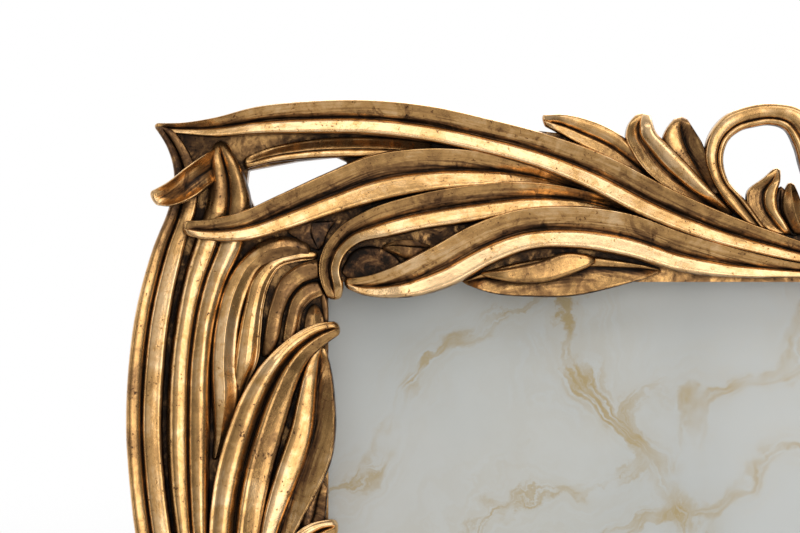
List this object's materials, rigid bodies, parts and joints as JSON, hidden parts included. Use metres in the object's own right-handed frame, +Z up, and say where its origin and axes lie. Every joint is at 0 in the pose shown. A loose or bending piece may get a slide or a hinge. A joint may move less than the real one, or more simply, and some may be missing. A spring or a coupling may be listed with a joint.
{
  "type": "standing picture frame",
  "caption": "Gilded picture frame of sweeping fluted leaves with a pierced crest, glazed, with a hinged easel strut, turn buttons and a hanging ring.",
  "frame": {"origin": "centre of the bounding box at the floor, under the middle of the standing frame", "axes": "+Z up, the front of the frame faces -Y and leans back, +X to the right seen from the front"},
  "size_m": [0.281, 0.1038, 0.3539],
  "materials": {
    "gilt_carving": "carved wood, burnished gold leaf over red-brown bole with dark patina in the grooves",
    "gilt_rail": "wood, toned dark under worn gold leaf",
    "glass": "clear float glass",
    "paper": "matt sheet with pale grey and ochre marbling",
    "card": "plain mount card",
    "board": "hardboard faced with black velour paper",
    "steel": "zinc plated",
    "brass": "brass plated",
    "rubber": "matt black",
    "felt": "dense dark felt"
  },
  "bodies": {
    "frame": {"top_left_crown_band": "gilt_carving", "top_right_crown_band": "gilt_carving", "bottom_left_crown_band": "gilt_carving", "bottom_right_crown_band": "gilt_carving", "top_left_sweep_leaves": "gilt_carving", "top_right_sweep_leaves": "gilt_carving", "bottom_left_sweep_leaves": "gilt_carving", "bottom_right_sweep_leaves": "gilt_carving", "top_left_side_reeds": "gilt_carving", "top_right_side_reeds": "gilt_carving", "bottom_left_side_reeds": "gilt_carving", "bottom_right_side_reeds": "gilt_carving", "top_left_corner_whorl": "gilt_carving", "top_right_corner_whorl": "gilt_carving", "bottom_left_corner_whorl": "gilt_carving", "bottom_right_corner_whorl": "gilt_carving", "top_left_curl_leaves": "gilt_carving", "top_right_curl_leaves": "gilt_carving", "bottom_left_curl_leaves": "gilt_carving", "bottom_right_curl_leaves": "gilt_carving", "crest_scrolls": "gilt_carving", "crest_leaves": "gilt_carving", "crest_leaflets": "gilt_carving", "apron_leaves": "gilt_carving", "centre_buds": "gilt_carving", "side_clasps": "gilt_carving", "base_pads": "felt", "v_nails": "steel", "button_screws": "brass", "rail_top": "gilt_rail", "rail_bottom": "gilt_rail", "rail_left": "gilt_rail", "rail_right": "gilt_rail", "glazing": "glass", "print_sheet": "paper", "mount_card": "card", "hinge_plate": "steel", "hinge_pin": "steel", "plate_rivets": "steel", "hanger_strap": "brass", "hanger_rivet": "brass", "backing_board": "board", "wall_bumpers": "felt"},
    "strut": {"easel_strut": "board", "hinge_leaf": "steel", "leaf_rivets": "steel", "strut_foot_pad": "rubber"},
    "ring": {"hanger_ring": "brass"},
    "button_top_left": {"button_top_left": "brass"},
    "button_top_right": {"button_top_right": "brass"},
    "button_bottom_left": {"button_bottom_left": "brass"},
    "button_bottom_right": {"button_bottom_right": "brass"},
    "button_left_upper": {"button_left_upper": "brass"},
    "button_left_lower": {"button_left_lower": "brass"},
    "button_right_upper": {"button_right_upper": "brass"},
    "button_right_lower": {"button_right_lower": "brass"}
  },
  "joints": [
    {"name": "strut_fold", "type": "hinge", "parent": "frame", "child": "strut", "pos_m": [0, 0.01147, 0.19329], "axis": [1, 0, 0], "range_deg": [-22, 0]},
    {"name": "ring_swing", "type": "hinge", "parent": "frame", "child": "ring", "pos_m": [0, 0.03159, 0.2933], "axis": [1, 0, 0], "range_deg": [-10, 165]},
    {"name": "button_top_left_turn", "type": "hinge", "parent": "frame", "child": "button_top_left", "pos_m": [-0.062, 0.03609, 0.32352], "axis": [0, -0.9781, 0.2079], "continuous": true},
    {"name": "button_top_right_turn", "type": "hinge", "parent": "frame", "child": "button_top_right", "pos_m": [0.062, 0.03609, 0.32352], "axis": [0, -0.9781, 0.2079], "continuous": true},
    {"name": "button_bottom_left_turn", "type": "hinge", "parent": "frame", "child": "button_bottom_left", "pos_m": [-0.062, -0.02733, 0.02519], "axis": [0, -0.9781, 0.2079], "continuous": true},
    {"name": "button_bottom_right_turn", "type": "hinge", "parent": "frame", "child": "button_bottom_right", "pos_m": [0.062, -0.02733, 0.02519], "axis": [0, -0.9781, 0.2079], "continuous": true},
    {"name": "button_left_upper_turn", "type": "hinge", "parent": "frame", "child": "button_left_upper", "pos_m": [-0.109, 0.0206, 0.25065], "axis": [0, -0.9781, 0.2079], "continuous": true},
    {"name": "button_left_lower_turn", "type": "hinge", "parent": "frame", "child": "button_left_lower", "pos_m": [-0.109, -0.01184, 0.09806], "axis": [0, -0.9781, 0.2079], "continuous": true},
    {"name": "button_right_upper_turn", "type": "hinge", "parent": "frame", "child": "button_right_upper", "pos_m": [0.109, 0.0206, 0.25065], "axis": [0, -0.9781, 0.2079], "continuous": true},
    {"name": "button_right_lower_turn", "type": "hinge", "parent": "frame", "child": "button_right_lower", "pos_m": [0.109, -0.01184, 0.09806], "axis": [0, -0.9781, 0.2079], "continuous": true}
  ]
}
